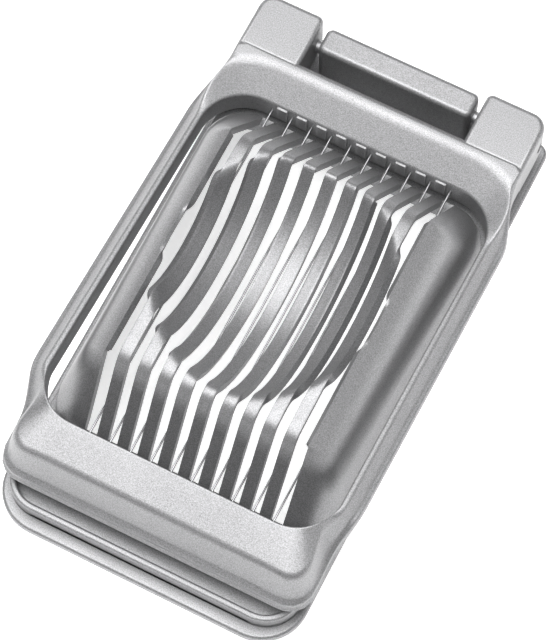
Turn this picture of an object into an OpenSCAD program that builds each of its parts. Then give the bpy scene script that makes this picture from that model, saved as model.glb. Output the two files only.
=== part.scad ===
// Egg slicer: a die-cast slotted base with an egg-shaped dish, and a hinged frame of stretched wires.
// Millimetres. +Z is up, the hinge is at +Y, the end that is lifted is at -Y.
// Origin: centre of the base's footprint, on the surface that it stands on, below the dish.

/* [Cutting wires] */
// Number of cutting wires
wire_count = 10; // [6:1:11]
// Distance from one wire to the next
wire_pitch = 5.0; // [4.2:0.1:6]
// Diameter of a wire
wire_d = 0.5; // [0.4:0.05:0.7]
// Height of the wires with the frame closed
wire_z = 11.9; // [11.4:0.1:12.2]
// Diameter of the crimped head on each end of a wire
wire_head_d = 1.6; // [1.2:0.1:2]
// Length of the crimped head
wire_head_l = 1.4; // [1:0.1:2]
// Radial clearance of a wire in its hole
wire_hole_gap = 0.05; // [0.02:0.01:0.1]

/* [Base] */
// Length of the base, front to rear
base_l = 135.6; // [130:0.4:165]
// Width of the base flange
base_w = 73.8; // [66:0.2:90]
// Height of the base flange
flange_h = 2.6; // [2:0.1:3]
// Radius of the two front corners of the flange
base_front_r = 10.8; // [6:0.2:13]
// Radius of the two rear corners of the flange
base_rear_r = 2.8; // [1:0.2:5]
// Width of the flange ledge along the sides
ledge_side = 1.6; // [1:0.1:2.4]
// Width of the flange ledge along the front
ledge_front = 3.0; // [2:0.1:4]
// Height of the raised deck around the bed
deck_z = 4.8; // [4:0.1:5.4]
// Distance from the hinge axis to the rear edge of the raised deck
deck_rear_l = 14.4; // [13:0.1:17]
// Height of the rim around the front of the deck
rim_h = 7.4; // [6:0.1:8.4]
// Thickness of that rim
rim_w = 1.6; // [1.2:0.1:2.4]
// Wall thickness of the castings
wall = 2.4; // [1.8:0.1:3]
// Wall thickness of the egg bed
bed_wall = 1.8; // [1.5:0.1:3]

/* [Egg bed] */
// Height of the top of the bed
bed_z = 32.6; // [27:0.1:39.2]
// Drop of the bed's top from the dish centre to its front bend
bed_front_drop = 1.2; // [0:0.1:3]
// Drop of the bed's top from the dish centre to its rear bend
bed_rear_drop = 0.8; // [0:0.1:3]
// Distance of the front bend from the dish centre
bed_front_l = 31.8; // [26.5:0.1:34]
// Distance of the rear bend from the dish centre
bed_rear_l = 26.3; // [22:0.1:28]
// Angle of the front slope of the bed
bed_front_angle = 61; // [56:1:72]
// Angle of the rear slope of the bed
bed_rear_angle = 56; // [54:1:68]
// Lean of the sides of the bed
bed_lean = 15; // [8:1:18]
// Radius of the rounded shoulders of the bed
shoulder_r = 13; // [6:0.5:16]
// Width of a slot between two ribs
slot_w = 2.3; // [1.8:0.1:2.8]
// Extra width of the first and the last slot, on their outer side
slot_extra = 0.7; // [0:0.1:1]
// Height of the slot floors
slot_floor_z = 8.6; // [7.2:0.1:10]
// Length of the egg dish at its rim
dish_l = 58.4; // [50:0.2:64]
// Width of the egg dish at its rim
dish_w = 50.8; // [44:0.2:54]
// Depth of the egg dish
dish_depth = 18.9; // [15.6:0.1:19.4]

/* [Cutting frame] */
// Gap between the sides of the bed and the rails, at the height of the rear bar
side_gap = 0.7; // [0.5:0.1:2]
// Gap between the front slope of the bed and the front bar, at the height of the lip
front_gap = 3.8; // [2:0.1:5]
// Gap between the rear slope of the bed and the rear bar, at the underside of that bar
rear_gap = 1.0; // [0.6:0.1:2]
// Corner radius of the window
window_r = 10.5; // [6:0.5:14]
// Width of a rail, from the window to its outer edge
rail_w = 4.8; // [4:0.1:7]
// Width of the flat on top of a rail
rail_flat = 1.3; // [1:0.1:2]
// Depth of the rails
rail_h = 6.9; // [6:0.1:8]
// Drop from the top of a rail to its outer edge
rail_drop = 3.2; // [2.4:0.1:4]
// Height of the outer edge of a rail
rail_edge = 1.4; // [1:0.1:2]
// Width of the bevel below the outer edge
rail_bevel = 1.5; // [0.8:0.1:2]
// Height of the frame at the front of the window
apex_z = 24.4; // [22:0.1:26]
// Rise of the rails towards the front, in degrees
rail_rise = 6; // [4:0.5:7]
// Gap between the rim of the base and the front lip of the frame
lip_gap = 2.0; // [1:0.1:3]
// Height of the lower edge of the front lip
lip_z = 9.2; // [8.9:0.1:10]
// Height of the front lip
lip_h = 3.3; // [2:0.1:4]
// Lean of the front lip
lip_lean = 0.8; // [0:0.1:1.5]
// Length of the front slope, from the plateau to the lip
front_slope_l = 4.1; // [3:0.1:6]
// Drop of the plateau on the front bar, from the window to the front slope
plateau_drop = 3.1; // [1:0.1:4]
// Inset of the sides of the front bar from the rails
front_inset = 2.0; // [1:0.1:3]
// Length over which the rails taper to that inset
taper_l = 12; // [8:0.5:16]
// Lean of the cheeks at the ends of the front bar
cheek_lean = 3.3; // [2:0.1:4]
// Angle between the cheeks and the rails, seen from above
cheek_turn = 12; // [6:1:16]
// Radius of the front corners of the frame
frame_front_r = 6; // [4:0.5:8]
// Height of the underside of the rear bar
rear_bar_z = 7.9; // [7.4:0.1:8.6]
// Length of the step from the rails up to the top of the rear bar
step_l = 7.1; // [4:0.1:7.2]
// Height of the comb teeth between the wires, on the rear bar
tooth_h = 5.2; // [4:0.1:6]
// Depth of those teeth
tooth_d = 0.5; // [0.2:0.1:0.6]

/* [Hinge] */
// Diameter of the hinge pin
pin_d = 3.0; // [2.4:0.1:3.6]
// Distance of the hinge axis from the rear edge of the base
pin_inset = 5.4; // [4.8:0.1:7]
// Height of the hinge axis
pin_z = 12.0; // [11.6:0.1:13]
// Radial running clearance of the pin in the base
pin_gap = 0.05; // [0.02:0.01:0.1]
// Recess of each end of the pin in its ear
pin_recess = 0.5; // [0.2:0.1:1]
// Width of the hinge block, between the ears
block_w = 38.4; // [32:0.2:46]
// Thickness of the hinge block, front to rear
block_t = 6.5; // [5.4:0.1:8]
// Height of the top of the hinge block
block_z = 17.7; // [16.6:0.1:18.4]
// Radius of the top edges of the hinge block and of the ears
edge_r = 1.5; // [0.5:0.1:2]
// Gap between the hinge block and each ear
ear_gap = 1.5; // [0.8:0.1:2]
// Inset of the ears from the sides of the base
ear_inset = 1.0; // [0.4:0.1:2]
// Height of the top of the ears and of the rear bar
ear_z = 19.3; // [18.4:0.1:20.4]
// Distance from the hinge axis to the notch between the ears
notch_l = 9.0; // [8.4:0.1:10]
// Distance from the hinge axis to the rear end of the ears
ear_rear_l = 4.1; // [3.4:0.1:4.6]
// Radius of the underside of the ears around the hinge axis
ear_r = 5.5; // [5:0.1:6]
// Radius of the rear corners of the ears
ear_corner_r = 2; // [1:0.1:3]
// Length of the shoulders where the rails narrow to the ears
shoulder_l = 15; // [10:0.5:18]
// Distance from the window to the rear end of those shoulders
shoulder_rear_l = 5.6; // [4:0.1:7]

/* [Hidden] */
$fn = 64;
over = 5;
wire_over = over / 10;
hole_d = wire_d + 2 * wire_hole_gap;
ground = -over;

// The wires, counted from the left, and the slots that they drop into.
function wire_node(i) = str("cutting_wire_", i < 9 ? "0" : "", i + 1);
function wire_x(i) = (i - (wire_count - 1) / 2) * wire_pitch;
land_x = wire_x(wire_count - 1) + slot_w / 2 + slot_extra;

// The bed's slopes and sides at a height z.
function bed_front_y(z) = -bed_front_l - (bed_z - bed_front_drop - z) / tan(bed_front_angle);
function bed_rear_y(z) = bed_rear_l + (bed_z - bed_rear_drop - z) / tan(bed_rear_angle);
function bed_x(z) = deck_x - (z - deck_z) * tan(bed_lean);

// The base, from the front (-Y) to the rear (+Y).
base_front_y = -base_l / 2;
base_rear_y = base_l / 2;
deck_x = base_w / 2 - ledge_side;
deck_front_y = base_front_y + ledge_front;
deck_front_r = base_front_r - (ledge_side + ledge_front) / 2;
pin_y = base_rear_y - pin_inset;
deck_rear_y = pin_y - deck_rear_l;

// The dish is part of a spindle turned about an axis that lies along Y, above the bed.
dish_axis_h = (pow(dish_w / 2, 2) - pow(dish_depth, 2)) / (2 * dish_depth);
dish_arc_r = (pow(dish_l / 2, 2) + pow(dish_depth, 2)) / (2 * dish_depth);

// The cutting frame.
window_x = bed_x(rear_bar_z) + side_gap;
window_front_y = bed_front_y(lip_z) - front_gap;
window_rear_y = bed_rear_y(rear_bar_z) + rear_gap;
frame_x = window_x + rail_w;
rail_in_x = window_x + rail_flat;
cheek_x = frame_x - front_inset;
lip_y = deck_front_y + rim_w + lip_gap;
lip_top_z = lip_z + lip_h;
plateau_y = lip_y + front_slope_l;
plateau_z = apex_z - plateau_drop;
notch_y = pin_y - notch_l;
ear_x = base_w / 2 - ear_inset;
ear_in_x = block_w / 2 + ear_gap;
ear_rear_y = pin_y + ear_rear_l;

// Height of the top of the rails at y, and of the rear bar behind them.
function rail_z(y) = apex_z - (y - window_front_y) * tan(rail_rise);
step_angle = atan((ear_z - rail_z(window_rear_y)) / step_l);
function rear_bar_top(y) = min(ear_z, rail_z(window_rear_y) + (y - window_rear_y) * tan(step_angle));

// Points of an arc around [cx, cy], from angle a0 to a1.
function arc(cx, cy, r, a0, a1, n = 9) =
    [for (i = [0:n]) let (a = a0 + (a1 - a0) * i / n) [cx + r * cos(a), cy + r * sin(a)]];

// A whole outline from its right half.
function mirrored(half) =
    concat(half, [for (i = [len(half) - 1:-1:0]) [-half[i][0], half[i][1]]]);

// Plan of a plate with its own front and rear corner radii.
module plate(half_w, front_y, rear_y, front_r, rear_r) {
    polygon(mirrored(concat(
        arc(half_w - rear_r, rear_y - rear_r, rear_r, 90, 0),
        arc(half_w - front_r, front_y + front_r, front_r, 0, -90))));
}

// A profile drawn in [y, z] that reaches half_w to each side.
module across(half_w) {
    rotate([90, 0, 90]) translate([0, 0, -half_w]) linear_extrude(2 * half_w) children();
}

// A profile drawn in [x, z], from y0 to y1.
module along(y0, y1) {
    translate([0, y1, 0]) rotate([90, 0, 0]) linear_extrude(y1 - y0) children();
}

// The same piece on the right and, mirrored, on the left.
module both_sides() {
    for (side = [0, 1]) mirror([side, 0, 0]) children();
}

// A round bar or bore along the hinge axis.
module on_hinge(d, l) {
    translate([0, pin_y, pin_z]) rotate([0, 90, 0]) cylinder(d = d, h = l, center = true);
}

// A round bar or bore along wire i, from y0 to y1.
module on_wire(i, d, y0, y1) {
    translate([wire_x(i), y1, wire_z]) rotate([90, 0, 0]) cylinder(d = d, h = y1 - y0);
}

// The bed as a solid mound, moved inwards by t. Its corners follow those of the frame's window.
module mound(t) {
    corner_r = window_r - side_gap - t;
    front_turn = t * tan(bed_front_angle / 2);
    rear_turn = t * tan(bed_rear_angle / 2);
    round_z = bed_z - shoulder_r;
    round_x = bed_x(round_z + shoulder_r * sin(bed_lean)) - shoulder_r * cos(bed_lean);
    intersection() {
        across(deck_x) polygon([
            [bed_front_y(0) + t / sin(bed_front_angle), 0],
            [-bed_front_l + front_turn, bed_z - bed_front_drop - t],
            [0, bed_z - t],
            [bed_rear_l - rear_turn, bed_z - bed_rear_drop - t],
            [bed_rear_y(0) - t / sin(bed_rear_angle), 0]]);
        along(bed_front_y(0), bed_rear_y(0)) polygon(mirrored(concat(
            [[deck_x - t, 0], [deck_x - t, deck_z]],
            arc(round_x, round_z, shoulder_r - t, bed_lean, 90))));
        linear_extrude(bed_z) plate(bed_x(rear_bar_z) - t, window_front_y + side_gap + t,
                                    bed_rear_y(rear_bar_z) - t, corner_r, corner_r);
    }
}

// The spindle that forms the dish, made larger by t.
module dish(t) {
    translate([0, 0, bed_z + dish_axis_h]) rotate([90, 0, 0]) rotate_extrude() intersection() {
        translate([dish_axis_h + dish_depth - dish_arc_r, 0]) circle(dish_arc_r + t);
        translate([0, -dish_l]) square(2 * dish_l);
    }
}

// One slot for each wire; the first and the last are wider on their outer side.
module slots() {
    for (i = [0:wire_count - 1]) {
        left = i == 0 ? slot_extra : 0;
        right = i == wire_count - 1 ? slot_extra : 0;
        translate([wire_x(i) - slot_w / 2 - left, bed_front_y(0), slot_floor_z])
            cube([slot_w + left + right, bed_rear_y(0) - bed_front_y(0), bed_z]);
    }
}

// The upright block that the hinge pin turns in.
module hinge_block() {
    across(block_w / 2) polygon(concat(
        [[pin_y - block_t / 2, 0], [pin_y + block_t / 2, 0]],
        arc(pin_y + block_t / 2 - edge_r, block_z - edge_r, edge_r, 0, 90),
        arc(pin_y - block_t / 2 + edge_r, block_z - edge_r, edge_r, 90, 180)));
}

// The raised rim around the front of the deck, up to the foot of the bed.
module rim() {
    difference() {
        linear_extrude(rim_h)
            plate(deck_x, deck_front_y, bed_front_y(rim_h) + rim_w, deck_front_r, 0);
        translate([0, 0, deck_z]) linear_extrude(rim_h)
            plate(deck_x - rim_w, deck_front_y + rim_w, bed_rear_l, deck_front_r - rim_w, 0);
    }
}

module base() {
    color("silver") difference() {
        union() {
            linear_extrude(flange_h)
                plate(base_w / 2, base_front_y, base_rear_y, base_front_r, base_rear_r);
            linear_extrude(deck_z) plate(deck_x, deck_front_y, deck_rear_y, deck_front_r, base_rear_r);
            rim();
            mound(0);
            hinge_block();
        }
        translate([0, 0, ground]) linear_extrude(deck_z - wall - ground)
            plate(deck_x - wall, deck_front_y + wall, deck_rear_y - wall, deck_front_r - wall, base_rear_r);
        difference() {
            mound(bed_wall);
            dish(bed_wall);
        }
        dish(0);
        slots();
        on_hinge(pin_d + 2 * pin_gap, base_w);
    }
}

// Plan of the frame: ears, shoulders that widen to the rails, and the front bar.
module frame_plan() {
    shoulder_y = window_rear_y + shoulder_rear_l;
    shoulders = [for (a = [0:22.5:180])
        [ear_x + (frame_x - ear_x) * (1 - cos(a)) / 2, shoulder_y - shoulder_l * a / 180]];
    polygon(mirrored(concat(
        arc(ear_x - ear_corner_r, ear_rear_y - ear_corner_r, ear_corner_r, 90, 0),
        shoulders,
        [[frame_x, window_front_y + taper_l]],
        [[cheek_x, window_front_y]],
        arc(cheek_x - frame_front_r, lip_y + frame_front_r, frame_front_r, 0, -90))));
}

// Side view of the frame: ears, rear bar, rails that rise to the front, and the front bar.
module frame_side() {
    ear_end_angle = acos(ear_rear_l / ear_r);
    polygon(concat(
        [[ear_rear_y, pin_z - ear_r * sin(ear_end_angle)]],
        arc(ear_rear_y - edge_r, ear_z - edge_r, edge_r, 0, 90),
        [[window_rear_y + step_l, ear_z],
         [window_rear_y, rail_z(window_rear_y)],
         [window_front_y, apex_z],
         [plateau_y, plateau_z],
         [lip_y + lip_lean, lip_top_z],
         [lip_y, lip_z],
         [window_front_y + rail_flat, lip_z],
         [window_front_y + taper_l, rail_z(window_front_y + taper_l) - rail_h],
         [window_rear_y, rail_z(window_rear_y) - rail_h],
         [notch_y, rear_bar_z]],
        arc(pin_y, pin_z, ear_r, -90, -ear_end_angle)));
}

// Cuts the rails' sloping tops and the bevels below their outer edges.
module rail_faces() {
    fall = rail_drop / (frame_x - rail_in_x);
    out_x = frame_x + over;
    bevel_z = -rail_drop - rail_edge;
    translate([0, window_front_y, apex_z]) rotate([-rail_rise, 0, 0]) both_sides() {
        along(0, base_l) polygon([
            [rail_in_x, 0], [out_x, -fall * (out_x - rail_in_x)], [out_x, over], [rail_in_x, over]]);
        along(0, base_l) polygon([
            [frame_x - rail_bevel, -rail_h], [frame_x, bevel_z], [out_x, bevel_z],
            [out_x, -rail_h - over], [frame_x - rail_bevel, -rail_h - over]]);
    }
}

// Cuts the leaning cheeks, which run out of the front bar's ends into the sides of the rails.
module cheeks() {
    top_z = apex_z + over;
    top_lean = cheek_lean * (top_z - lip_top_z) / (plateau_z - lip_top_z);
    both_sides() translate([cheek_x, lip_y, 0]) rotate([0, 0, -cheek_turn]) along(-over, base_l)
        polygon([[0, lip_top_z], [2 * over, lip_top_z], [2 * over, top_z], [-top_lean, top_z]]);
}

// The hollow under the front bar, where the wires' front heads sit.
module front_hollow() {
    across(cheek_x - cheek_lean - wall) polygon([
        [window_front_y - wall, ground],
        [window_front_y - wall, apex_z - plateau_drop / 2 - wall],
        [plateau_y + wall / 2, plateau_z - wall],
        [lip_y + lip_lean + wall, lip_top_z],
        [lip_y + wall, ground]]);
}

// The hollow under the rear bar, where the wires' rear heads sit.
module rear_hollow() {
    front_y = window_rear_y + wall;
    rear_y = notch_y - wall;
    roof = wall / cos(step_angle);
    across(window_x - wall) polygon([
        [front_y, ground],
        [front_y, rear_bar_top(front_y) - roof],
        [rear_y, rear_bar_top(rear_y) - roof],
        [rear_y, ground]]);
}

// Teeth on the rear bar, one between each two wires.
module teeth() {
    tooth_w = wire_pitch - slot_w;
    tooth_z = rail_z(window_rear_y) - tooth_h;
    for (i = [0:wire_count - 2])
        translate([wire_x(i) + (wire_pitch - tooth_w) / 2, window_rear_y - tooth_d, tooth_z])
            cube([tooth_w, 2 * tooth_d, tooth_h]);
}

module cutting_frame() {
    color("silver") difference() {
        union() {
            difference() {
                intersection() {
                    translate([0, 0, ground]) linear_extrude(apex_z + 2 * over) frame_plan();
                    across(frame_x) frame_side();
                }
                translate([0, 0, ground]) linear_extrude(apex_z + 2 * over)
                    plate(window_x, window_front_y, window_rear_y, window_r, window_r);
                rail_faces();
                cheeks();
                front_hollow();
                rear_hollow();
            }
            teeth();
        }
        across(ear_in_x) translate([notch_y, ground]) square([base_l, apex_z - ground]);
        on_hinge(pin_d, base_w);
        for (i = [0:wire_count - 1]) {
            on_wire(i, hole_d, window_front_y - wall - wire_over, window_front_y + wire_over);
            on_wire(i, hole_d, window_rear_y - wire_over, window_rear_y + wall + wire_over);
        }
    }
}

module hinge_pin() {
    color("gainsboro") on_hinge(pin_d, 2 * (ear_x - pin_recess));
}

// One stretched wire with its two crimped heads.
module cutting_wire(i) {
    front_y = window_front_y - wall;
    rear_y = window_rear_y + wall;
    color("lightgray") union() {
        on_wire(i, wire_d, front_y - wire_head_l, rear_y + wire_head_l);
        on_wire(i, wire_head_d, front_y - wire_head_l, front_y);
        on_wire(i, wire_head_d, rear_y, rear_y + wire_head_l);
    }
}

base();
cutting_frame();
hinge_pin();
for (i = [0:wire_count - 1])
    cutting_wire(i);
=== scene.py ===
"""Egg slicer with a cast slotted bed and a hinged frame of stretched wires.

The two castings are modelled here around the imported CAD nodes. The wires and the hinge pin stay CAD nodes
and get their finishes here. Lengths in the classes are millimetres in the CAD frame.
"""

import logging
import math
from dataclasses import dataclass
from enum import Enum
from typing import Callable

import bpy
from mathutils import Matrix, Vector

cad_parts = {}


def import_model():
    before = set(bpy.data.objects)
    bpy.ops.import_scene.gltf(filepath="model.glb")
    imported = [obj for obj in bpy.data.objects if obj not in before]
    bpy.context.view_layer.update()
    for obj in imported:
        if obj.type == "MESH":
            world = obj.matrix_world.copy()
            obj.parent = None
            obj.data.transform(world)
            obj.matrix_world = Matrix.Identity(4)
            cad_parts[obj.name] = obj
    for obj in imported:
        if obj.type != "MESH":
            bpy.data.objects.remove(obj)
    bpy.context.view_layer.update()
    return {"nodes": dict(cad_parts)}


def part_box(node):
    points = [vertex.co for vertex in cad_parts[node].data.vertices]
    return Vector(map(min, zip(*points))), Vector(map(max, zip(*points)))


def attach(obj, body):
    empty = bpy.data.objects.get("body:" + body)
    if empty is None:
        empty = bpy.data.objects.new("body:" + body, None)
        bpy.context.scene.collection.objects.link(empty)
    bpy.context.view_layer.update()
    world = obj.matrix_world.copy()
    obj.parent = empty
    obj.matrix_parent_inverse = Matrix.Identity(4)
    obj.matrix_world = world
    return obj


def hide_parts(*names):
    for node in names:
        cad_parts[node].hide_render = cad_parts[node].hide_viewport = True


LOG = logging.getLogger("egg_slicer")
MM = 0.001

TOUCH = 0.01  # slack in mm when an edge is picked by its place
FAR = 1e3  # a height or reach in mm that no part comes near
SHARP = 50.0  # degrees between faces above which a cast edge is rounded
PARALLEL = 1e-9  # cross product below which two lines never meet
HAIR = 1e-6  # rounding slack where two lines meet

Point2 = tuple[float, float]
Point3 = tuple[float, float, float]
EdgeTest = Callable[[Vector, Vector], bool]


class Side(Enum):
    """Left or right half of the slicer."""

    LEFT = -1
    RIGHT = 1


# ---------------------------------------------------------------- small sums


def mix(a: float, b: float, share: float) -> float:
    """Returns the value that lies a share of the way from a to b."""
    return a + (b - a) * share


def eased(share: float) -> float:
    """Returns a share limited to 0..1 and eased at both ends."""
    share = min(1.0, max(0.0, share))
    return share * share * (3.0 - 2.0 * share)


def soft_min(a: float, b: float, radius: float) -> float:
    """Returns the smaller of two heights, with the crease between them rounded by about radius."""
    overlap = max(radius - abs(a - b), 0.0) / radius
    return min(a, b) - overlap * overlap * radius / 4.0


def along_line(points: list[Point2], key: float, column: int = 0) -> float:
    """Reads a value off a polyline.

    Args:
        points: pairs that rise or fall steadily in the key column.
        key: where to read.
        column: the column that holds the key; the other one is returned.

    Returns:
        The value at key, held level beyond both ends.
    """
    other = 1 - column
    ordered = points if points[0][column] <= points[-1][column] else points[::-1]
    if key <= ordered[0][column]:
        return ordered[0][other]
    for start, end in zip(ordered, ordered[1:]):
        if key <= end[column]:
            span = end[column] - start[column]
            share = (key - start[column]) / span if span > 1e-9 else 0.0
            return mix(start[other], end[other], share)
    return ordered[-1][other]


def rounded(points: list[Point2], radii: list[float], steps: int, closed: bool) -> list[Point2]:
    """Rounds the corners of a polyline with short Bezier curves.

    Args:
        points: the corners.
        radii: how far from each corner its curve starts.
        steps: points on each curve, less one.
        closed: whether the last corner joins the first.

    Returns:
        The rounded line, with steps + 1 points for each rounded corner.
    """
    count = len(points)
    out: list[Point2] = []
    for i, (corner, radius) in enumerate(zip(points, radii)):
        if not closed and i in (0, count - 1):
            out.append(corner)
            continue
        before = Vector(points[i - 1]) - Vector(corner)
        after = Vector(points[(i + 1) % count]) - Vector(corner)
        start = Vector(corner) + before.normalized() * min(radius, 0.45 * before.length)
        end = Vector(corner) + after.normalized() * min(radius, 0.45 * after.length)
        for k in range(steps + 1):
            t = k / steps
            p = start * (1 - t) ** 2 + Vector(corner) * 2 * t * (1 - t) + end * t * t
            out.append((p.x, p.y))
    return out


def even_steps(line: list[Point2], spacing: float) -> list[Point2]:
    """Returns the line with points added so that no step is longer than spacing.

    Args:
        line: the points to follow.
        spacing: the longest step allowed.
    """
    out = [line[0]]
    for start, end in zip(line, line[1:]):
        parts = max(1, math.ceil(math.dist(start, end) / spacing))
        for k in range(1, parts + 1):
            out.append((mix(start[0], end[0], k / parts), mix(start[1], end[1], k / parts)))
    return out


def spaced(line: list[Point2], count: int) -> list[Point2]:
    """Returns count points at equal distances along a line.

    Args:
        line: the points to follow.
        count: how many points to return.
    """
    reach = [0.0]
    for start, end in zip(line, line[1:]):
        reach.append(reach[-1] + math.dist(start, end))
    out, at = [], 0
    for k in range(count):
        want = reach[-1] * k / (count - 1)
        while at < len(line) - 2 and reach[at + 1] < want:
            at += 1
        share = (want - reach[at]) / max(reach[at + 1] - reach[at], 1e-9)
        out.append((mix(line[at][0], line[at + 1][0], share), mix(line[at][1], line[at + 1][1], share)))
    return out


def averaged(line: list[Point2], reach: int) -> list[Point2]:
    """Returns the line with each point moved to the mean of its neighbours, up to reach on each side.

    Args:
        line: the points to even out.
        reach: how many neighbours on each side count.
    """
    out = []
    for i in range(len(line)):
        near = min(reach, i, len(line) - 1 - i)
        window = line[i - near : i + near + 1]
        out.append((sum(p[0] for p in window) / len(window), sum(p[1] for p in window) / len(window)))
    return out


# ---------------------------------------------------------------- modelling tools


def deselect() -> None:
    """Leaves edit mode if needed and deselects everything."""
    if bpy.context.mode != "OBJECT":
        bpy.ops.object.mode_set(mode="OBJECT")
    bpy.ops.object.select_all(action="DESELECT")


def choose(*pieces: bpy.types.Object) -> None:
    """Selects only these pieces and makes the first one active."""
    deselect()
    for piece in pieces:
        piece.select_set(True)
    bpy.context.view_layer.objects.active = pieces[0]


def edit_mesh(piece: bpy.types.Object, mode: str = "FACE") -> None:
    """Opens a piece in edit mode with nothing selected.

    Args:
        piece: the object to change.
        mode: the select mode: VERT, EDGE or FACE.
    """
    choose(piece)
    bpy.ops.object.mode_set(mode="EDIT")
    bpy.ops.mesh.select_mode(type=mode)
    bpy.ops.mesh.select_all(action="DESELECT")


def pick_faces(piece: bpy.types.Object, wanted: EdgeTest) -> None:
    """Opens a piece in edit mode with the faces selected whose centre and normal are wanted.

    Args:
        piece: the object to change.
        wanted: a test of a face's centre and normal, in mm.
    """
    edit_mesh(piece, "FACE")
    bpy.ops.object.mode_set(mode="OBJECT")
    for face in piece.data.polygons:
        face.select = wanted(face.center / MM, face.normal)
    bpy.ops.object.mode_set(mode="EDIT")


def pick_edges(piece: bpy.types.Object, wanted: EdgeTest) -> None:
    """Opens a piece in edit mode with the edges selected whose two ends are wanted.

    Args:
        piece: the object to change.
        wanted: a test of an edge's two ends, in mm.
    """
    edit_mesh(piece, "EDGE")
    bpy.ops.object.mode_set(mode="OBJECT")
    for edge in piece.data.edges:
        ends = [piece.data.vertices[i].co / MM for i in edge.vertices]
        edge.select = wanted(ends[0], ends[1])
    bpy.ops.object.mode_set(mode="EDIT")


def round_edges(piece: bpy.types.Object, wanted: EdgeTest, radius: float, steps: int) -> None:
    """Rounds the wanted edges of a piece to a radius in mm.

    Args:
        piece: the object to change.
        wanted: a test of an edge's two ends, in mm.
        radius: the radius in mm.
        steps: segments across the rounding.
    """
    pick_edges(piece, wanted)
    bpy.ops.mesh.bevel(offset=radius * MM, segments=steps, profile=0.5, affect="EDGES", clamp_overlap=False)
    bpy.ops.object.mode_set(mode="OBJECT")


def block(name: str, low: Point3, high: Point3) -> bpy.types.Object:
    """Adds a box from its lowest to its highest corner, in mm, with its place in its mesh.

    Args:
        name: the object's name.
        low: its lowest corner.
        high: its highest corner.

    Returns:
        The new box.
    """
    deselect()
    bpy.ops.mesh.primitive_cube_add(size=1.0)
    piece = bpy.context.active_object
    piece.name = piece.data.name = name
    piece.dimensions = [(h - l) * MM for l, h in zip(low, high)]
    piece.location = [(h + l) / 2 * MM for l, h in zip(low, high)]
    bpy.context.view_layer.update()
    bpy.ops.object.transform_apply(location=True, rotation=True, scale=True)
    return piece


def is_upright(a: Vector, b: Vector) -> bool:
    """Tells whether an edge stands straight up."""
    return abs(a.x - b.x) < TOUCH and abs(a.y - b.y) < TOUCH


def rounded_block(name: str, low: Point3, high: Point3, front_r: float, rear_r: float) -> bpy.types.Object:
    """Adds a box with rounded upright corners, front and rear.

    Args:
        name: the object's name.
        low: its lowest corner.
        high: its highest corner.
        front_r: radius of the front corners.
        rear_r: radius of the rear corners, or 0.

    Returns:
        The new box.
    """
    piece = block(name, low, high)
    middle = (low[1] + high[1]) / 2
    if rear_r > 0:
        round_edges(piece, lambda a, b: is_upright(a, b) and a.y > middle, rear_r, 10)
    if front_r > 0:
        round_edges(piece, lambda a, b: is_upright(a, b) and a.y < middle, front_r, 14)
    return piece


def loft(name: str, rows: list[list[Point3]], wraps: bool = False) -> bpy.types.Object:
    """Adds a grid and draws it over rows of points.

    Args:
        name: the piece's name.
        rows: rows of points in mm, all of one length; x first, then along the rows.
        wraps: whether opposite edges meet and are merged.

    Returns:
        The new piece.
    """
    deselect()
    bpy.ops.mesh.primitive_grid_add(x_subdivisions=len(rows[0]) - 1, y_subdivisions=len(rows) - 1, size=1.0)
    piece = bpy.context.active_object
    piece.name = piece.data.name = name
    flat = [value * MM for row in rows for point in row for value in point]
    piece.data.vertices.foreach_set("co", flat)
    piece.data.update()
    if wraps:
        edit_mesh(piece, "VERT")
        bpy.ops.mesh.select_all(action="SELECT")
        bpy.ops.mesh.remove_doubles(threshold=0.002 * MM)
        bpy.ops.mesh.normals_make_consistent(inside=False)
        bpy.ops.object.mode_set(mode="OBJECT")
    return piece


def finish_modifier(piece: bpy.types.Object, kind: str, **settings: object) -> None:
    """Adds one modifier with its settings and applies it.

    Args:
        piece: the object to change.
        kind: the modifier's type.
        settings: its settings by name.
    """
    choose(piece)
    modifier = piece.modifiers.new(kind.lower(), kind)
    for key, value in settings.items():
        setattr(modifier, key, value)
    bpy.ops.object.modifier_apply(modifier=modifier.name)


def cut(piece: bpy.types.Object, cutter: bpy.types.Object) -> None:
    """Cuts a cutter out of a piece and removes the cutter."""
    finish_modifier(piece, "BOOLEAN", operation="DIFFERENCE", solver="EXACT", object=cutter)
    bpy.data.objects.remove(cutter)


def ease_edges(piece: bpy.types.Object, radius: float, angle: float, steps: int = 2) -> None:
    """Rounds every edge sharper than an angle in degrees.

    Args:
        piece: the object to change.
        radius: the radius in mm.
        angle: degrees between faces above which an edge is rounded.
        steps: segments across the rounding.
    """
    finish_modifier(
        piece, "BEVEL", width=radius * MM, segments=steps, limit_method="ANGLE",
        angle_limit=math.radians(angle), use_clamp_overlap=True, miter_outer="MITER_ARC",
    )


def weld(piece: bpy.types.Object, gap: float) -> None:
    """Merges points closer than a gap in mm, and dissolves the faces and edges that leaves without a size.

    Args:
        piece: the object to change.
        gap: the largest distance in mm that is closed.
    """
    edit_mesh(piece, "VERT")
    bpy.ops.mesh.select_all(action="SELECT")
    bpy.ops.mesh.remove_doubles(threshold=gap * MM)
    bpy.ops.mesh.dissolve_degenerate(threshold=gap * MM / 4)
    bpy.ops.object.mode_set(mode="OBJECT")


def smooth(piece: bpy.types.Object, angle: float) -> None:
    """Shades a piece smooth, with edges sharper than an angle in degrees kept."""
    choose(piece)
    bpy.ops.object.shade_smooth_by_angle(angle=math.radians(angle))


def even_shading(piece: bpy.types.Object) -> None:
    """Keeps flat faces evenly shaded beside small rounded edges."""
    finish_modifier(piece, "WEIGHTED_NORMAL", mode="FACE_AREA", weight=50, keep_sharp=True)


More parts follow.
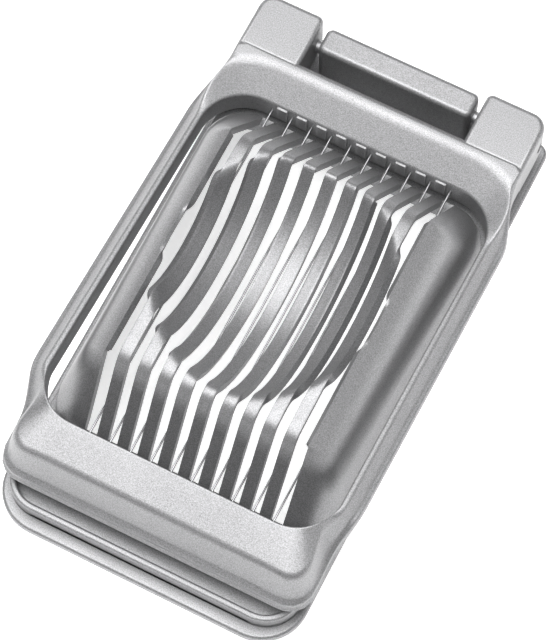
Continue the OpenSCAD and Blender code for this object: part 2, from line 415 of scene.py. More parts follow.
def joined(name: str, pieces: list[bpy.types.Object]) -> bpy.types.Object:
    """Joins pieces of one casting into one object.

    Args:
        name: the joined object's name.
        pieces: the objects to join.

    Returns:
        The joined object.
    """
    choose(*pieces)
    bpy.ops.object.join()
    piece = bpy.context.active_object
    piece.name = piece.data.name = name
    return piece


# ---------------------------------------------------------------- finishes


def node_of(tree: bpy.types.NodeTree, kind: str, **inputs: object) -> bpy.types.Node:
    """Adds a shader node and sets its named inputs.

    Args:
        tree: the material's node tree.
        kind: the node's type.
        inputs: values by input name, with _ for a space.

    Returns:
        The new node.
    """
    node = tree.nodes.new(kind)
    for key, value in inputs.items():
        node.inputs[key.replace("_", " ")].default_value = value
    return node


@dataclass(frozen=True)
class CastFinish:
    """A sandy silver-grey coat on a die casting."""

    name: str
    light: float = 0.32
    dark: float = 0.165
    metal: float = 0.6
    rough_low: float = 0.38
    rough_high: float = 0.46
    speckle: float = 4200.0
    grain: float = 6500.0
    grain_depth: float = 0.05
    cloud: float = 45.0
    tint_stops: Point2 = (0.36, 0.62)
    relief: float = 0.6

    def material(self) -> bpy.types.Material:
        """Returns the material: speckled grey with a fine sandy relief."""
        material = bpy.data.materials.new(self.name)
        material.use_nodes = True
        tree = material.node_tree
        shader = tree.nodes["Principled BSDF"]
        shader.inputs["Metallic"].default_value = self.metal
        place = tree.nodes.new("ShaderNodeTexCoord")
        speckle = node_of(tree, "ShaderNodeTexNoise", Scale=self.speckle, Detail=4.0, Roughness=0.65)
        cloud = node_of(tree, "ShaderNodeTexNoise", Scale=self.cloud, Detail=3.0)
        grain = node_of(tree, "ShaderNodeTexNoise", Scale=self.grain, Detail=5.0, Roughness=0.7)
        for noise in (speckle, cloud, grain):
            tree.links.new(place.outputs["Object"], noise.inputs["Vector"])
        tint = tree.nodes.new("ShaderNodeValToRGB")
        tint.color_ramp.elements[0].position = self.tint_stops[0]
        tint.color_ramp.elements[0].color = (self.dark, self.dark, self.dark * 1.02, 1.0)
        tint.color_ramp.elements[1].position = self.tint_stops[1]
        tint.color_ramp.elements[1].color = (self.light, self.light, self.light * 1.02, 1.0)
        tree.links.new(speckle.outputs["Fac"], tint.inputs["Fac"])
        tree.links.new(tint.outputs["Color"], shader.inputs["Base Color"])
        rough = tree.nodes.new("ShaderNodeMapRange")
        rough.inputs["From Min"].default_value = 0.3
        rough.inputs["From Max"].default_value = 0.7
        rough.inputs["To Min"].default_value = self.rough_low
        rough.inputs["To Max"].default_value = self.rough_high
        tree.links.new(cloud.outputs["Fac"], rough.inputs["Value"])
        tree.links.new(rough.outputs["Result"], shader.inputs["Roughness"])
        bump = node_of(tree, "ShaderNodeBump", Strength=self.relief, Distance=self.grain_depth * MM)
        tree.links.new(grain.outputs["Fac"], bump.inputs["Height"])
        tree.links.new(bump.outputs["Normal"], shader.inputs["Normal"])
        return material


@dataclass(frozen=True)
class SteelFinish:
    """Bright drawn steel with fine lines along one axis."""

    name: str
    grey: float
    roughness: float
    stretch: Point3
    line_depth: float = 0.004
    line_scale: float = 3000.0
    relief: float = 0.12

    def material(self) -> bpy.types.Material:
        """Returns the material: metal with drawn lines along the piece."""
        material = bpy.data.materials.new(self.name)
        material.use_nodes = True
        tree = material.node_tree
        shader = tree.nodes["Principled BSDF"]
        shader.inputs["Metallic"].default_value = 1.0
        shader.inputs["Roughness"].default_value = self.roughness
        place = tree.nodes.new("ShaderNodeTexCoord")
        turn = tree.nodes.new("ShaderNodeMapping")
        turn.inputs["Scale"].default_value = self.stretch
        lines = node_of(tree, "ShaderNodeTexNoise", Scale=self.line_scale, Detail=3.0)
        tree.links.new(place.outputs["Object"], turn.inputs["Vector"])
        tree.links.new(turn.outputs["Vector"], lines.inputs["Vector"])
        tint = tree.nodes.new("ShaderNodeValToRGB")
        tint.color_ramp.elements[0].color = (self.grey * 0.7, self.grey * 0.7, self.grey * 0.72, 1.0)
        tint.color_ramp.elements[1].color = (self.grey, self.grey, self.grey * 1.02, 1.0)
        tree.links.new(lines.outputs["Fac"], tint.inputs["Fac"])
        tree.links.new(tint.outputs["Color"], shader.inputs["Base Color"])
        bump = node_of(tree, "ShaderNodeBump", Strength=self.relief, Distance=self.line_depth * MM)
        tree.links.new(lines.outputs["Fac"], bump.inputs["Height"])
        tree.links.new(bump.outputs["Normal"], shader.inputs["Normal"])
        return material


def dress(piece: bpy.types.Object, material: bpy.types.Material) -> None:
    """Gives a piece one material all over."""
    piece.data.materials.clear()
    piece.data.materials.append(material)


# ---------------------------------------------------------------- the base casting


@dataclass
class EggBed:
    """The slotted bed: ribs, two lands and the egg-shaped dish."""

    deck_z: float = 4.8
    deck_x: float = 35.3
    foot_x: float = 34.5
    foot_z: float = 7.9
    top_z: float = 32.6
    front_y: float = -31.8
    front_z: float = 31.4
    front_foot_y: float = -46.5
    rear_y: float = 26.3
    rear_z: float = 31.8
    rear_foot_y: float = 42.4
    wall: float = 1.8
    land_x: float = 24.35
    wires: int = 10
    pitch: float = 5.0
    slot_w: float = 2.3
    slot_floor_z: float = 8.6
    slot_slack: float = 0.05
    shoulder_r: float = 13.0
    lean: float = 15.0
    corner_r: float = 9.8
    dish_l: float = 58.4
    dish_w: float = 50.8
    dish_depth: float = 18.9
    rim_r: float = 1.8
    rim_reach: int = 8
    rim_passes: int = 2
    fine_step: float = 0.1
    side_step: float = 0.35
    land_step: float = 1.3
    arc_parts: int = 14
    rib_parts: int = 4
    end_parts: int = 5
    turn_parts: int = 9
    side_parts: int = 110
    fine_count: int = 400
    row_count: int = 190
    edge_r: float = 0.28
    edge_angle: float = 62.0
    sheet_gap: float = 0.03
    solid_gap: float = 0.008
    smooth_angle: float = 40.0
    bowl_y: Point2 = (-36.0, 34.0)

    def side_line(self) -> list[Point2]:
        """Returns the bed's side view as (y, z), from the front foot to the rear foot."""
        corners = [
            (self.front_foot_y, self.deck_z), (self.front_y, self.front_z), (0.0, self.top_z),
            (self.rear_y, self.rear_z), (self.rear_foot_y, self.foot_z), (self.rear_foot_y, self.deck_z),
        ]
        line = rounded(corners, [0.0, 2.4, 8.0, 2.4, 1.0, 0.0], 8, closed=False)
        return even_steps(line, self.side_step)

    def shoulder_line(self) -> list[Point2]:
        """Returns a land's cross-section as (x, z), from the slot over the shoulder to the deck."""
        lean = math.radians(self.lean)
        round_z = self.top_z - self.shoulder_r
        turn_z = round_z + self.shoulder_r * math.sin(lean)
        turn_x = self.deck_x - (turn_z - self.deck_z) * math.tan(lean)
        round_x = turn_x - self.shoulder_r * math.cos(lean)
        start = math.acos((self.land_x - round_x) / self.shoulder_r)
        arc = [
            (round_x + self.shoulder_r * math.cos(mix(start, lean, k / self.arc_parts)),
             round_z + self.shoulder_r * math.sin(mix(start, lean, k / self.arc_parts)))
            for k in range(self.arc_parts + 1)
        ]
        wall = [(self.foot_x, self.foot_z), (self.foot_x, self.deck_z)]
        return even_steps(arc + wall, self.land_step)

    def dish_z(self, x: float, y: float) -> float:
        """Returns the height of the dish at a place, or a great height outside it.

        Args:
            x: across the bed.
            y: along the bed.
        """
        arc_r = ((self.dish_l / 2) ** 2 + self.dish_depth ** 2) / (2 * self.dish_depth)
        axis_h = ((self.dish_w / 2) ** 2 - self.dish_depth ** 2) / (2 * self.dish_depth)
        if abs(y) >= arc_r:
            return FAR
        radius = axis_h + self.dish_depth - arc_r + math.sqrt(arc_r ** 2 - y ** 2)
        if abs(x) >= radius:
            return FAR
        return self.top_z + axis_h - math.sqrt(radius ** 2 - x ** 2)

    def shoulder_z(self, x: float, line: list[Point2]) -> float:
        """Returns the height of the rounded shoulders at x.

        Args:
            x: across the bed.
            line: a land's cross-section.
        """
        start_x, start_z = line[0]
        round_x = start_x - math.sqrt(self.shoulder_r ** 2 - (start_z - self.top_z + self.shoulder_r) ** 2)
        over = abs(x) - round_x
        if over <= 0:
            return self.top_z
        return self.top_z - self.shoulder_r + math.sqrt(max(self.shoulder_r ** 2 - over ** 2, 0.0))

    def rib_line(self, x: float, shape: list[Point2], shoulder: list[Point2]) -> list[Point2]:
        """Returns the bed's side view at x as (y, z), with the dish rims rounded.

        Args:
            x: where the bed is cut lengthwise.
            shape: the bed's side view.
            shoulder: a land's cross-section.

        Returns:
            The same number of points for every x, close together where the dish is steep.
        """
        first, last = self.bowl_y
        count = round((last - first) / self.fine_step)
        fine = []
        for k in range(count + 1):
            y = mix(first, last, k / count)
            ridge = min(along_line(shape, y), self.shoulder_z(x, shoulder))
            fine.append((y, min(ridge, self.dish_z(x, y))))
        line = spaced(fine, self.fine_count)
        for _ in range(self.rim_passes):
            line = averaged(line, self.rim_reach)
        foot = [point for point in shape if point[0] < first]
        heel = [point for point in shape if point[0] > last]
        return foot + spaced(line, self.row_count) + heel

    def ribs(self) -> bpy.types.Object:
        """Makes the ribs between the lands: one sheet with the slots deleted from it.

        Returns:
            The ribs, still without thickness.
        """
        edges = [-self.land_x]
        for i in range(self.wires):
            middle = (i - (self.wires - 1) / 2) * self.pitch
            left = middle - self.slot_w / 2 if i else -self.land_x
            right = middle + self.slot_w / 2 if i < self.wires - 1 else self.land_x
            if i:
                parts = self.rib_parts
                edges += [mix(edges[-1], left, k / parts) for k in range(1, parts + 1)]
            edges.append(right)
        shape, shoulder = self.side_line(), self.shoulder_line()
        columns = [self.rib_line(x, shape, shoulder) for x in edges]
        rows = [
            [(x, *column[i]) for x, column in zip(edges, columns)] for i in range(len(columns[0]))
        ]
        sheet = loft("ribs", rows)
        half = self.slot_w / 2

        def in_slot(centre: Vector, _normal: Vector) -> bool:
            """Tells whether a face lies over a slot, above the slot floors.

            Args:
                centre: the face's centre in mm.

            Returns:
                True for a face to be deleted.
            """
            place = centre.x / self.pitch + (self.wires - 1) / 2
            beside = abs(centre.x - (round(place) - (self.wires - 1) / 2) * self.pitch)
            edge_slot = abs(centre.x) > (self.wires - 1) / 2 * self.pitch - half
            return centre.z > self.slot_floor_z and (beside < half - self.slot_slack or edge_slot)

        pick_faces(sheet, in_slot)
        bpy.ops.mesh.delete(type="FACE")
        bpy.ops.object.mode_set(mode="OBJECT")
        return sheet

    def land(self, side: Side) -> bpy.types.Object:
        """Makes one land: from the outer slot over the shoulder and round to both slopes.

        Args:
            side: the half of the bed it is on.

        Returns:
            The land, still without thickness.
        """
        shape = self.side_line()
        top = max(range(len(shape)), key=lambda i: shape[i][1])
        front, rear = shape[: top + 1], shape[top:]
        ends, turns, sides = self.end_parts, self.turn_parts, self.side_parts
        columns = []
        for x, z in self.shoulder_line():
            level = min(z, self.rear_z)
            front_y = along_line(front, min(level, self.front_z), column=1)
            rear_y = along_line(rear, level, column=1)
            radius = min(self.corner_r, max(x - self.land_x, 0.0))
            path: list[Point2] = [
                (mix(self.land_x, x - radius, k / ends), front_y) for k in range(ends + 1)
            ]
            for k in range(1, turns + 1):
                turn = math.radians(90 * k / turns)
                path.append(
                    (x - radius + radius * math.sin(turn), front_y + radius - radius * math.cos(turn))
                )
            path += [
                (x, mix(front_y + radius, rear_y - radius, k / sides)) for k in range(1, sides)
            ]
            for k in range(turns + 1):
                turn = math.radians(90 * k / turns)
                path.append(
                    (x - radius + radius * math.cos(turn), rear_y - radius + radius * math.sin(turn))
                )
            path += [(mix(x - radius, self.land_x, k / ends), rear_y) for k in range(1, ends + 1)]
            columns.append([
                (px, py, soft_min(min(z, along_line(shape, py)), self.dish_z(px, py), self.rim_r))
                for px, py in path
            ])
        rows = [[column[i] for column in columns] for i in range(len(columns[0]))]
        if side is Side.LEFT:
            rows = [[(-x, y, z) for x, y, z in reversed(row)] for row in rows]
        return loft(f"land_{side.name.lower()}", rows)

    def build(self) -> list[bpy.types.Object]:
        """Returns the bed's parts, given their wall thickness and soft edges."""
        parts = [self.ribs(), self.land(Side.LEFT), self.land(Side.RIGHT)]
        for part in parts:
            weld(part, self.sheet_gap)
            finish_modifier(
                part, "SOLIDIFY", thickness=self.wall * MM, offset=-1.0,
                use_even_offset=False, use_quality_normals=True,
            )
            ease_edges(part, self.edge_r, self.edge_angle)
            weld(part, self.solid_gap)
            smooth(part, self.smooth_angle)
        return parts


@dataclass
class BasePlate:
    """The flange, deck and rim that the bed stands on, and the hinge block."""

    half_w: float
    front_y: float
    rear_y: float
    flange_h: float = 2.6
    front_r: float = 10.8
    rear_r: float = 2.8
    deck_x: float = 35.3
    deck_z: float = 4.8
    deck_rear_y: float = 48.0
    deck_r: float = 8.5
    ledge_front: float = 3.0
    rim_h: float = 7.4
    rim_w: float = 1.6
    rim_rear_y: float = -43.6
    wall: float = 2.4
    hollow_x: float = 32.7
    hollow_y: Point2 = (-44.6, 40.6)
    hollow_r: float = 7.4
    block_x: float = 19.2
    block_y: Point2 = (59.15, 65.65)
    block_z: float = 17.7
    block_r: float = 1.6
    edge_r: float = 1.2
    flange_edge_r: float = 0.8
    deck_edge_r: float = 0.5
    rim_edge_r: float = 0.6
    rim_low_z: float = 0.6
    block_low_z: float = 1.0
    cut_z: Point2 = (-5.0, 20.0)
    smooth_angle: float = 35.0

    def bed_hollow(self) -> bpy.types.Object:
        """Returns a cutter for the opening under the bed."""
        x, (y0, y1), (z0, z1) = self.hollow_x, self.hollow_y, self.cut_z
        return rounded_block("hollow", (-x, y0, z0), (x, y1, z1), self.hollow_r, self.hollow_r)

    def deck_hollow(self) -> bpy.types.Object:
        """Returns a cutter for the wider opening under the deck's roof."""
        x, (z0, z1) = self.deck_x - self.wall, self.cut_z
        y0, y1 = self.front_y + self.ledge_front + self.wall, self.deck_rear_y - self.wall
        return rounded_block("hollow", (-x, y0, z0), (x, y1, z1), self.deck_r - self.wall, self.rear_r)

    def flange(self) -> bpy.types.Object:
        """Makes the flat flange.

        Returns:
            The flange.
        """
        low, high = (-self.half_w, self.front_y, 0.0), (self.half_w, self.rear_y, self.flange_h)
        plate = rounded_block("flange", low, high, self.front_r, self.rear_r)
        ease_edges(plate, self.flange_edge_r, SHARP, 4)
        cut(plate, self.deck_hollow())
        return plate

    def deck(self) -> bpy.types.Object:
        """Makes the raised deck.

        Returns:
            The deck.
        """
        y = self.front_y + self.ledge_front
        top = (self.deck_x, self.deck_rear_y, self.deck_z)
        low = (-self.deck_x, y, self.deck_z - self.wall)
        plate = rounded_block("deck", low, top, self.deck_r, self.rear_r)
        ease_edges(plate, self.deck_edge_r, SHARP, 3)
        cut(plate, self.bed_hollow())
        return plate

    def rim(self) -> bpy.types.Object:
        """Makes the rim around the front of the deck.

        Returns:
            The rim.
        """
        y = self.front_y + self.ledge_front
        x, w = self.deck_x, self.rim_w
        low, high = (-x, y, self.rim_low_z), (x, self.rim_rear_y, self.rim_h)
        ring = rounded_block("rim", low, high, self.deck_r, 0.0)
        pocket = rounded_block("pocket", (w - x, y + w, -1.0), (x - w, 0.0, 20.0), self.deck_r - w, 0.0)
        cut(ring, pocket)
        ease_edges(ring, self.rim_edge_r, SHARP, 4)
        return ring

    def hinge_block(self) -> bpy.types.Object:
        """Makes the block that the hinge pin turns in.

        Returns:
            The block.
        """
        x, (y0, y1) = self.block_x, self.block_y
        low, high = (-x, y0, self.block_low_z), (x, y1, self.block_z)
        piece = rounded_block("hinge_block", low, high, self.block_r, self.block_r)
        round_edges(piece, lambda a, b: min(a.z, b.z) > self.block_z - TOUCH, self.edge_r, 5)
        return piece

    def build(self) -> list[bpy.types.Object]:
        """Returns the plate's parts."""
        parts = [self.flange(), self.deck(), self.rim(), self.hinge_block()]
        for part in parts:
            smooth(part, self.smooth_angle)
        return parts


# ---------------------------------------------------------------- the cutting frame


@dataclass
class FrameCasting:
    """The hinged frame: rails, front bar and rear bar as one ring, with ears and teeth."""

    rail_x: float
    lip_y: float
    window_x: float = 35.2
    window_y: Point2 = (-47.9, 43.4)
    window_r: float = 10.5
    front_x: float = 38.0
    front_r: float = 6.0
    taper_l: float = 12.0
    ear_x: float = 35.9
    ear_in_x: float = 20.7
    ear_y: float = 66.5
    ear_z: float = 19.3
    ear_low_z: float = 6.5
    ear_r: Point2 = (3.8, 1.6)
    ear_edge_r: float = 1.3
    ear_overlap: float = 1.6
    notch_y: float = 53.4
    shoulder_y: Point2 = (34.0, 49.0)
    apex_z: float = 24.4
    rise: float = 6.0
    rail_h: float = 6.9
    rail_flat: float = 1.3
    rail_drop: float = 3.2
    rail_edge: float = 1.4
    wall: float = 2.4
    plateau_z: float = 21.3
    slope_l: float = 4.1
    lip_z: Point2 = (9.2, 12.5)
    bar_z: float = 7.9
    step_l: float = 7.1
    wires: int = 10
    pitch: float = 5.0
    slot_w: float = 2.3
    tooth_d: float = 0.5
    tooth_z: Point2 = (9.5, 14.4)
    pin: Point2 = (62.4, 12.0)
    pin_d: float = 3.0
    pin_recess: float = 0.5
    front_blend: float = 52.0
    rear_blend: float = 62.0
    bar_parts: int = 12
    corner_parts: int = 18
    rail_parts: int = 30
    front_parts: int = 12
    taper_parts: int = 6
    shoulder_parts: int = 16
    recess_gap: float = 0.02
    recess_l: float = 4.0
    tooth_root: float = 0.6
    tooth_edge_r: float = 0.2
    ring_angle: float = 60.0
    ear_angle: float = 35.0

    def rail_z(self, y: float) -> float:
        """Returns the height of the rails' tops at y."""
        return self.apex_z - (y - self.window_y[0]) * math.tan(math.radians(self.rise))

    def outline(self) -> list[Point2]:
        """Returns the right half of the frame's plan, from the middle of its front to its rear."""
        line: list[Point2] = [(0.0, self.lip_y)]
        centre = (self.front_x - self.front_r, self.lip_y + self.front_r)
        for k in range(self.front_parts + 1):
            turn = math.radians(-90 + 90 * k / self.front_parts)
            line.append(
                (centre[0] + self.front_r * math.cos(turn), centre[1] + self.front_r * math.sin(turn))
            )
        taper_y = self.window_y[0] + self.taper_l
        for k in range(self.taper_parts + 1):
            share = k / self.taper_parts
            x = mix(self.front_x, self.rail_x, eased(share))
            line.append((x, mix(self.window_y[0], taper_y, share)))
        for k in range(self.shoulder_parts + 1):
            share = k / self.shoulder_parts
            line.append((mix(self.rail_x, self.ear_x, eased(share)), mix(*self.shoulder_y, share)))
        return line + [(self.ear_x, self.notch_y), (0.0, self.notch_y)]

    def reach(self, origin: Point2, heading: Point2, outline: list[Point2]) -> float:
        """Returns how far a ray from origin runs before it leaves the outline.

        Args:
            origin: a point inside the outline.
            heading: the ray's unit direction.
            outline: the right half of the plan.

        Returns:
            The distance in mm.
        """
        best = FAR
        for (ax, ay), (bx, by) in zip(outline, outline[1:]):
            ex, ey = bx - ax, by - ay
            cross = heading[0] * ey - heading[1] * ex
            if abs(cross) < PARALLEL:
                continue
            t = ((ax - origin[0]) * ey - (ay - origin[1]) * ex) / cross
            s = ((ax - origin[0]) * heading[1] - (ay - origin[1]) * heading[0]) / cross
            if t > HAIR and -HAIR <= s <= 1 + HAIR:
                best = min(best, t)
        return best

    def stations(self) -> list[tuple[Point2, Point2, float, float]]:
        """Returns the places where the ring's section is set out, over its right half.

        Returns:
            For each place its point on the window, the way out from it, and how far the section is
            that of the front bar and of the rear bar.
        """
        x, (y0, y1), r = self.window_x, self.window_y, self.window_r
        found: list[tuple[Point2, Point2, float, float]] = []
        bars, corners, rails = self.bar_parts, self.corner_parts, self.rail_parts
        for k in range(bars):
            found.append(((mix(0.0, x - r, k / bars), y0), (0.0, -1.0), 1.0, 0.0))
        for k in range(corners + 1):
            angle = -90 + 90 * k / corners
            turn = math.radians(angle)
            heading = (math.cos(turn), math.sin(turn))
            point = (x - r + r * heading[0], y0 + r + r * heading[1])
            found.append((point, heading, eased(-angle / self.front_blend), 0.0))
        for k in range(1, rails):
            found.append(((x, mix(y0 + r, y1 - r, k / rails)), (1.0, 0.0), 0.0, 0.0))
        for k in range(corners + 1):
            angle = 90 * k / corners
            turn = math.radians(angle)
            heading = (math.cos(turn), math.sin(turn))
            point = (x - r + r * heading[0], y1 - r + r * heading[1])
            found.append((point, heading, 0.0, eased(angle / self.rear_blend)))
        for k in range(bars - 1, -1, -1):
            found.append(((mix(0.0, x - r, k / bars), y1), (0.0, 1.0), 0.0, 1.0))
        return found

    def section(self, width: float, top: float, front: float, rear: float) -> list[Point2]:
        """Returns the ring's section at one station.

        Args:
            width: distance from the window to the outer edge.
            top: height of the rail's top there.
            front: how far the section is that of the front bar, 0..1.
            rear: how far the section is that of the rear bar, 0..1.

        Returns:
            Rounded corners as (distance from the window, height), starting at the window's lower edge.
        """
        low = top - self.rail_h
        drop, edge = top - self.rail_drop, top - self.rail_drop - self.rail_edge
        lip_low, lip_top = self.lip_z
        rail = [
            (0.0, low), (0.0, top), (self.rail_flat, top),
            (width - 1.35, drop + 0.25), (width - 0.35, drop), (width - 0.05, mix(drop, edge, 0.5)),
            (width, edge), (width - 1.5, low), (width - 1.9, low + 0.1),
            (1.9, low + 0.1), (1.5, low),
        ]
        bar = [
            (0.0, lip_low), (0.0, self.apex_z), (width - self.slope_l, self.plateau_z),
            (width - 2.0, lip_top + 0.9), (width - 0.6, lip_top), (width - 0.75, mix(lip_top, lip_low, 0.45)),
            (width, lip_low + 0.9), (width - self.wall, lip_low),
            (width - self.slope_l, self.plateau_z - 3.2),
            (self.wall, self.apex_z - 3.6), (self.wall, lip_low),
        ]
        high = self.ear_z
        back = [
            (0.0, self.bar_z), (0.0, self.rail_z(self.window_y[1])), (self.step_l, high), (width - 0.9, high),
            (width, high - 0.9), (width, mix(high, self.bar_z, 0.4)), (width, self.bar_z + 0.6),
            (width - self.wall, self.bar_z), (width - self.wall, high - 2.6),
            (self.wall, 13.0), (self.wall, self.bar_z),
        ]
        corners = [
            (
                a[0] + (b[0] - a[0]) * front + (c[0] - a[0]) * rear,
                a[1] + (b[1] - a[1]) * front + (c[1] - a[1]) * rear,
            )
            for a, b, c in zip(rail, bar, back)
        ]
        radii = [0.5, 0.55, mix(0.5, 1.5, max(front, rear)), 0.5, 0.4, 0.4, 0.5, 0.5, 0.6, 0.6, 0.4]
        return rounded(corners, radii, 4, closed=True)

    def ring(self) -> bpy.types.Object:
        """Makes the ring around the window.

        Returns:
            The ring.
        """
        outline = self.outline()
        right = []
        for (x, y), (hx, hy), front, rear in self.stations():
            width = self.reach((x, y), (hx, hy), outline)
            section = self.section(width, self.rail_z(y), front, rear)
            right.append([(x + hx * t, y + hy * t, z) for t, z in section])
        left = [[(-x, y, z) for x, y, z in row] for row in reversed(right[1:-1])]
        rows = [row + row[:1] for row in right + left]
        return loft("frame_ring", rows + rows[:1], wraps=True)

    def ear(self, side: Side) -> bpy.types.Object:
        """Makes one hinge ear, with the recess that shows the pin's end.

        Args:
            side: the half of the frame it is on.

        Returns:
            The ear.
        """
        low = (self.ear_in_x, self.notch_y - self.ear_overlap, self.ear_low_z)
        piece = block(f"ear_{side.name.lower()}", low, (self.ear_x, self.ear_y, self.ear_z))
        top, rear = self.ear_z - TOUCH, self.ear_y - TOUCH
        middle = (self.ear_in_x + self.ear_x) / 2
        round_edges(piece, lambda a, b: is_upright(a, b) and a.y > rear and a.x > middle, self.ear_r[0], 8)
        round_edges(piece, lambda a, b: is_upright(a, b) and a.y > rear and a.x < middle, self.ear_r[1], 6)
        round_edges(piece, lambda a, b: min(a.z, b.z) > top, self.ear_edge_r, 5)
        round_edges(piece, lambda a, b: max(a.z, b.z) < self.ear_low_z + TOUCH, self.ear_edge_r, 5)
        deselect()
        bpy.ops.mesh.primitive_cylinder_add(
            vertices=40, radius=(self.pin_d / 2 + self.recess_gap) * MM, depth=self.recess_l * MM,
            rotation=(0.0, math.pi / 2, 0.0),
            location=(
                (self.ear_x + self.recess_l / 2 - self.pin_recess) * MM, self.pin[0] * MM, self.pin[1] * MM
            ),
        )
        cut(piece, bpy.context.active_object)
        if side is Side.LEFT:
            choose(piece)
            bpy.ops.transform.mirror(constraint_axis=(True, False, False), center_override=(0.0, 0.0, 0.0))
            bpy.ops.object.transform_apply(location=True, rotation=True, scale=True)
            edit_mesh(piece, "FACE")
            bpy.ops.mesh.select_all(action="SELECT")
            bpy.ops.mesh.normals_make_consistent(inside=False)
            bpy.ops.object.mode_set(mode="OBJECT")
        return piece

    def teeth(self) -> list[bpy.types.Object]:
        """Makes the comb teeth on the rear bar, one between each two wires.

        Returns:
            The teeth.
        """
        y, (z0, z1) = self.window_y[1], self.tooth_z
        half = (self.pitch - self.slot_w) / 2
        first = block("tooth", (-half, y - self.tooth_d, z0), (half, y + self.tooth_root, z1))
        ease_edges(first, self.tooth_edge_r, SHARP)
        copies = [first]
        for i in range(1, self.wires - 1):
            copy = first.copy()
            copy.data = first.data.copy()
            bpy.context.collection.objects.link(copy)
            copies.append(copy)
        for i, copy in enumerate(copies):
            copy.location.x = (i - (self.wires - 2) / 2) * self.pitch * MM
            choose(copy)
            bpy.ops.object.transform_apply(location=True, rotation=False, scale=False)
        return copies

    def build(self) -> list[bpy.types.Object]:
        """Returns the frame's parts."""
        ring = self.ring()
        smooth(ring, self.ring_angle)
        ears = [self.ear(Side.LEFT), self.ear(Side.RIGHT)]
        for ear in ears:
            smooth(ear, self.ear_angle)
        return [ring, *ears, *self.teeth()]


# ---------------------------------------------------------------- studio


@dataclass
class Studio:
    """The floor, the soft lights and the camera."""

    target: Point3 = (0.00173, -0.00325, 0.01384)
    azimuth: float = 27.02
    elevation: float = 68.06
    distance: float = 0.6686
    lens: float = 170.2
    sensor: float = 36.0
    floor_size: float = 6.0
    floor_z: float = -0.1
    floor_tone: float = 0.93
    floor_glow: float = 0.55
    sky: float = 0.14

    def direction(self, azimuth: float, elevation: float) -> Vector:
        """Returns the unit vector from the slicer towards a viewer."""
        a, e = math.radians(azimuth), math.radians(elevation)
        return Vector((math.sin(a) * math.cos(e), -math.cos(a) * math.cos(e), math.sin(e)))

    def camera(self) -> None:
        """Adds the camera and makes it the scene's."""
        data = bpy.data.cameras.new("camera")
        data.sensor_fit = "VERTICAL"
        data.sensor_height = self.sensor
        data.lens = self.lens
        data.clip_start = 0.01
        camera = bpy.data.objects.new("camera", data)
        bpy.context.scene.collection.objects.link(camera)
        back = self.direction(self.azimuth, self.elevation)
        camera.location = Vector(self.target) + back * self.distance
        camera.rotation_euler = back.to_track_quat("Z", "Y").to_euler()
        bpy.context.scene.camera = camera

    def light(
        self, name: str, azimuth: float, elevation: float, distance: float, size: float, power: float
    ) -> None:
        """Adds one square soft light that faces the slicer.

        Args:
            name: the light's name.
            azimuth: the bearing it shines from, in degrees.
            elevation: its height above the floor, in degrees.
            distance: metres from the slicer.
            size: the side of the square, in metres.
            power: watts.
        """
        data = bpy.data.lights.new(name, "AREA")
        data.size = size
        data.energy = power
        lamp = bpy.data.objects.new(name, data)
        bpy.context.scene.collection.objects.link(lamp)
        way = self.direction(azimuth, elevation)
        lamp.location = way * distance
        lamp.rotation_euler = way.to_track_quat("Z", "Y").to_euler()

    def floor(self) -> None:
        """Adds the plain pale floor."""
        deselect()
        bpy.ops.mesh.primitive_plane_add(size=self.floor_size, location=(0.0, 0.0, self.floor_z * MM))
        floor = bpy.context.active_object
        floor.name = "floor"
        material = bpy.data.materials.new("floor_paper")
        material.use_nodes = True
        shader = material.node_tree.nodes["Principled BSDF"]
        shader.inputs["Base Color"].default_value = (*[self.floor_tone] * 3, 1.0)
        shader.inputs["Roughness"].default_value = 0.9
        shader.inputs["Specular IOR Level"].default_value = 0.1
        shader.inputs["Emission Color"].default_value = (1.0, 1.0, 1.0, 1.0)
        shader.inputs["Emission Strength"].default_value = self.floor_glow
        floor.data.materials.append(material)

    def world(self) -> None:
        """Sets the even light from all round."""
        world = bpy.data.worlds.new("studio")
        world.use_nodes = True
        sky = world.node_tree.nodes["Background"]
        sky.inputs["Color"].default_value = (1.0, 1.0, 1.0, 1.0)
        sky.inputs["Strength"].default_value = self.sky
        bpy.context.scene.world = world
        bpy.context.scene.view_settings.view_transform = "Standard"

    def build(self) -> None:
        """Builds the whole studio."""
        self.camera()
        self.floor()
        self.world()
        self.light("top_box", azimuth=-85.0, elevation=82.0, distance=0.9, size=0.95, power=17.0)
        self.light("front_fill", azimuth=-30.0, elevation=35.0, distance=1.2, size=0.8, power=0.8)
        self.light("right_fill", azimuth=100.0, elevation=30.0, distance=1.2, size=0.8, power=2.4)


# ---------------------------------------------------------------- assembly


def place(piece: bpy.types.Object, body: str, node: str, slot: str) -> None:
    """Puts a finished casting on its body in place of its CAD node.

    Args:
        piece: the finished casting.
        body: the body it rides on.
        node: the CAD node it stands in for.
        slot: not used.
    """
    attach(piece, body)
    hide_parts(node)
    LOG.info("%s: %d faces, rides on %s", piece.name, len(piece.data.polygons), body)


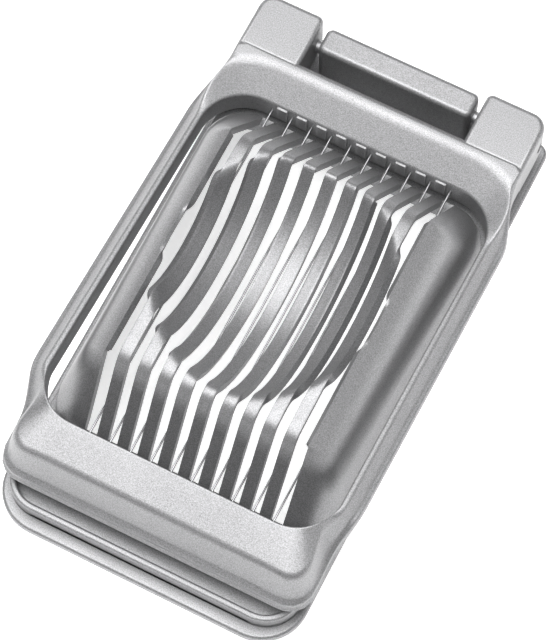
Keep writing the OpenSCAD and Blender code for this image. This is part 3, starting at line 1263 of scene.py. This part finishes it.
@dataclass
class BaseAssembly:
    """The whole base: the egg bed on its plate, as one casting."""

    bed: EggBed
    plate: BasePlate
    finish: CastFinish = CastFinish("cast_base")

    def build(self) -> bpy.types.Object:
        """Returns the base casting."""
        piece = joined("base_casting", self.bed.build() + self.plate.build())
        even_shading(piece)
        return piece

    def dress(self, piece: bpy.types.Object) -> None:
        """Gives the base its coat and its place."""
        dress(piece, self.finish.material())
        place(piece, "base", "base", "cast_base")


@dataclass
class FrameAssembly:
    """The whole hinged frame as one casting."""

    casting: FrameCasting
    finish: CastFinish = CastFinish("cast_frame", light=0.34, dark=0.175)

    def build(self) -> bpy.types.Object:
        """Returns the frame casting."""
        piece = joined("frame_casting", self.casting.build())
        even_shading(piece)
        return piece

    def dress(self, piece: bpy.types.Object) -> None:
        """Gives the frame its coat and its place."""
        dress(piece, self.finish.material())
        place(piece, "cutting_frame", "cutting_frame", "cast_frame")


@dataclass
class Hardware:
    """The steel parts that keep their CAD shape: ten cutting wires and the hinge pin."""

    wire: SteelFinish = SteelFinish("drawn_wire", grey=0.42, roughness=0.34, stretch=(1.0, 0.02, 1.0))
    pin: SteelFinish = SteelFinish("ground_pin", grey=0.6, roughness=0.5, stretch=(0.02, 1.0, 1.0))

    def dress(self, nodes: dict[str, bpy.types.Object]) -> None:
        """Gives the wires and the pin their steel finishes.

        Args:
            nodes: the CAD nodes by name.
        """
        wire = self.wire.material()
        for name, node in nodes.items():
            if name.startswith("cutting_wire"):
                dress(node, wire)
                LOG.info("%s keeps its shape", name)
        dress(nodes["hinge_pin"], self.pin.material())
        LOG.info("hinge_pin keeps its shape")


def main() -> None:
    """Builds the slicer and its studio."""
    logging.basicConfig(level=logging.INFO, format="%(name)s: %(message)s")
    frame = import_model()
    Studio().build()
    low, high = (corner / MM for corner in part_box("base"))
    frame_low, frame_high = (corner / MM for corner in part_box("cutting_frame"))

    base = BaseAssembly(EggBed(), BasePlate(high.x, low.y, high.y))
    base.dress(base.build())
    lid = FrameAssembly(FrameCasting(frame_high.x, frame_low.y))
    lid.dress(lid.build())
    Hardware().dress(frame["nodes"])


if __name__ == "__main__":
    main()
